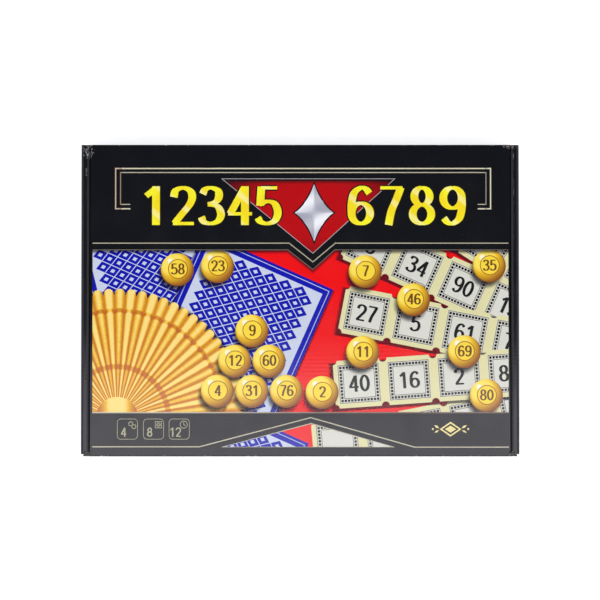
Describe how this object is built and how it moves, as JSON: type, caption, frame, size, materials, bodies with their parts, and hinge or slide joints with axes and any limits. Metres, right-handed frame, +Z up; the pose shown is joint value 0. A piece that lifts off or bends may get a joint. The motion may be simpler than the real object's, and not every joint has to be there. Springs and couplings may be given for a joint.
{
  "type": "boxed bingo game",
  "caption": "Flat folding mailer box of thin corrugated board with a hinged lid and tuck flap, holding bingo and lotto cards, number discs and a drawstring bag.",
  "frame": {"origin": "the middle of the underside of the closed box", "axes": "+X along the box's length, +Y towards the lid's hinge at the back, +Z up out of the lid"},
  "size_m": [0.35, 0.249, 0.05],
  "materials": {
    "printed_board": "gloss",
    "lotto_card_print": "satin",
    "bingo_card_print": "satin",
    "leaflet_paper": "matte",
    "disc_plastic": "satin",
    "bag_cloth": "matte",
    "cord_cotton": "matte"
  },
  "bodies": {
    "base": {"floor_panel": "printed_board", "left_side_wall": "printed_board", "right_side_wall": "printed_board", "front_wall": "printed_board", "back_wall": "printed_board", "front_left_corner_tab": "printed_board", "front_right_corner_tab": "printed_board", "back_left_corner_tab": "printed_board", "back_right_corner_tab": "printed_board", "lotto_card_01": "lotto_card_print", "lotto_card_02": "lotto_card_print", "lotto_card_03": "lotto_card_print", "lotto_card_04": "lotto_card_print", "lotto_card_05": "lotto_card_print", "lotto_card_06": "lotto_card_print", "lotto_card_07": "lotto_card_print", "lotto_card_08": "lotto_card_print", "lotto_card_09": "lotto_card_print", "lotto_card_10": "lotto_card_print", "lotto_card_11": "lotto_card_print", "lotto_card_12": "lotto_card_print", "bingo_card_01": "bingo_card_print", "bingo_card_02": "bingo_card_print", "bingo_card_03": "bingo_card_print", "bingo_card_04": "bingo_card_print", "bingo_card_05": "bingo_card_print", "bingo_card_06": "bingo_card_print", "bingo_card_07": "bingo_card_print", "bingo_card_08": "bingo_card_print", "bingo_card_09": "bingo_card_print", "bingo_card_10": "bingo_card_print", "bingo_card_11": "bingo_card_print", "bingo_card_12": "bingo_card_print", "rules_leaflet": "leaflet_paper", "number_disc_01": "disc_plastic", "number_disc_02": "disc_plastic", "number_disc_03": "disc_plastic", "number_disc_04": "disc_plastic", "number_disc_05": "disc_plastic", "number_disc_06": "disc_plastic", "number_disc_07": "disc_plastic", "number_disc_08": "disc_plastic", "number_disc_09": "disc_plastic", "number_disc_10": "disc_plastic", "number_disc_11": "disc_plastic", "number_disc_12": "disc_plastic", "number_disc_13": "disc_plastic", "number_disc_14": "disc_plastic", "number_disc_15": "disc_plastic", "drawstring_bag": "bag_cloth", "drawstring": "cord_cotton"},
    "lid": {"lid_panel": "printed_board", "left_dust_flap": "printed_board", "right_dust_flap": "printed_board"},
    "front_flap": {"front_flap": "printed_board", "left_ear": "printed_board", "right_ear": "printed_board"}
  },
  "joints": [
    {"name": "lid_hinge", "type": "hinge", "parent": "base", "child": "lid", "pos_m": [0, 0.1245, 0.05], "axis": [-1, 0, 0], "range_deg": [0, 180]},
    {"name": "front_flap_hinge", "type": "hinge", "parent": "lid", "child": "front_flap", "pos_m": [0, -0.1245, 0.05], "axis": [-1, 0, 0], "range_deg": [0, 110]}
  ]
}
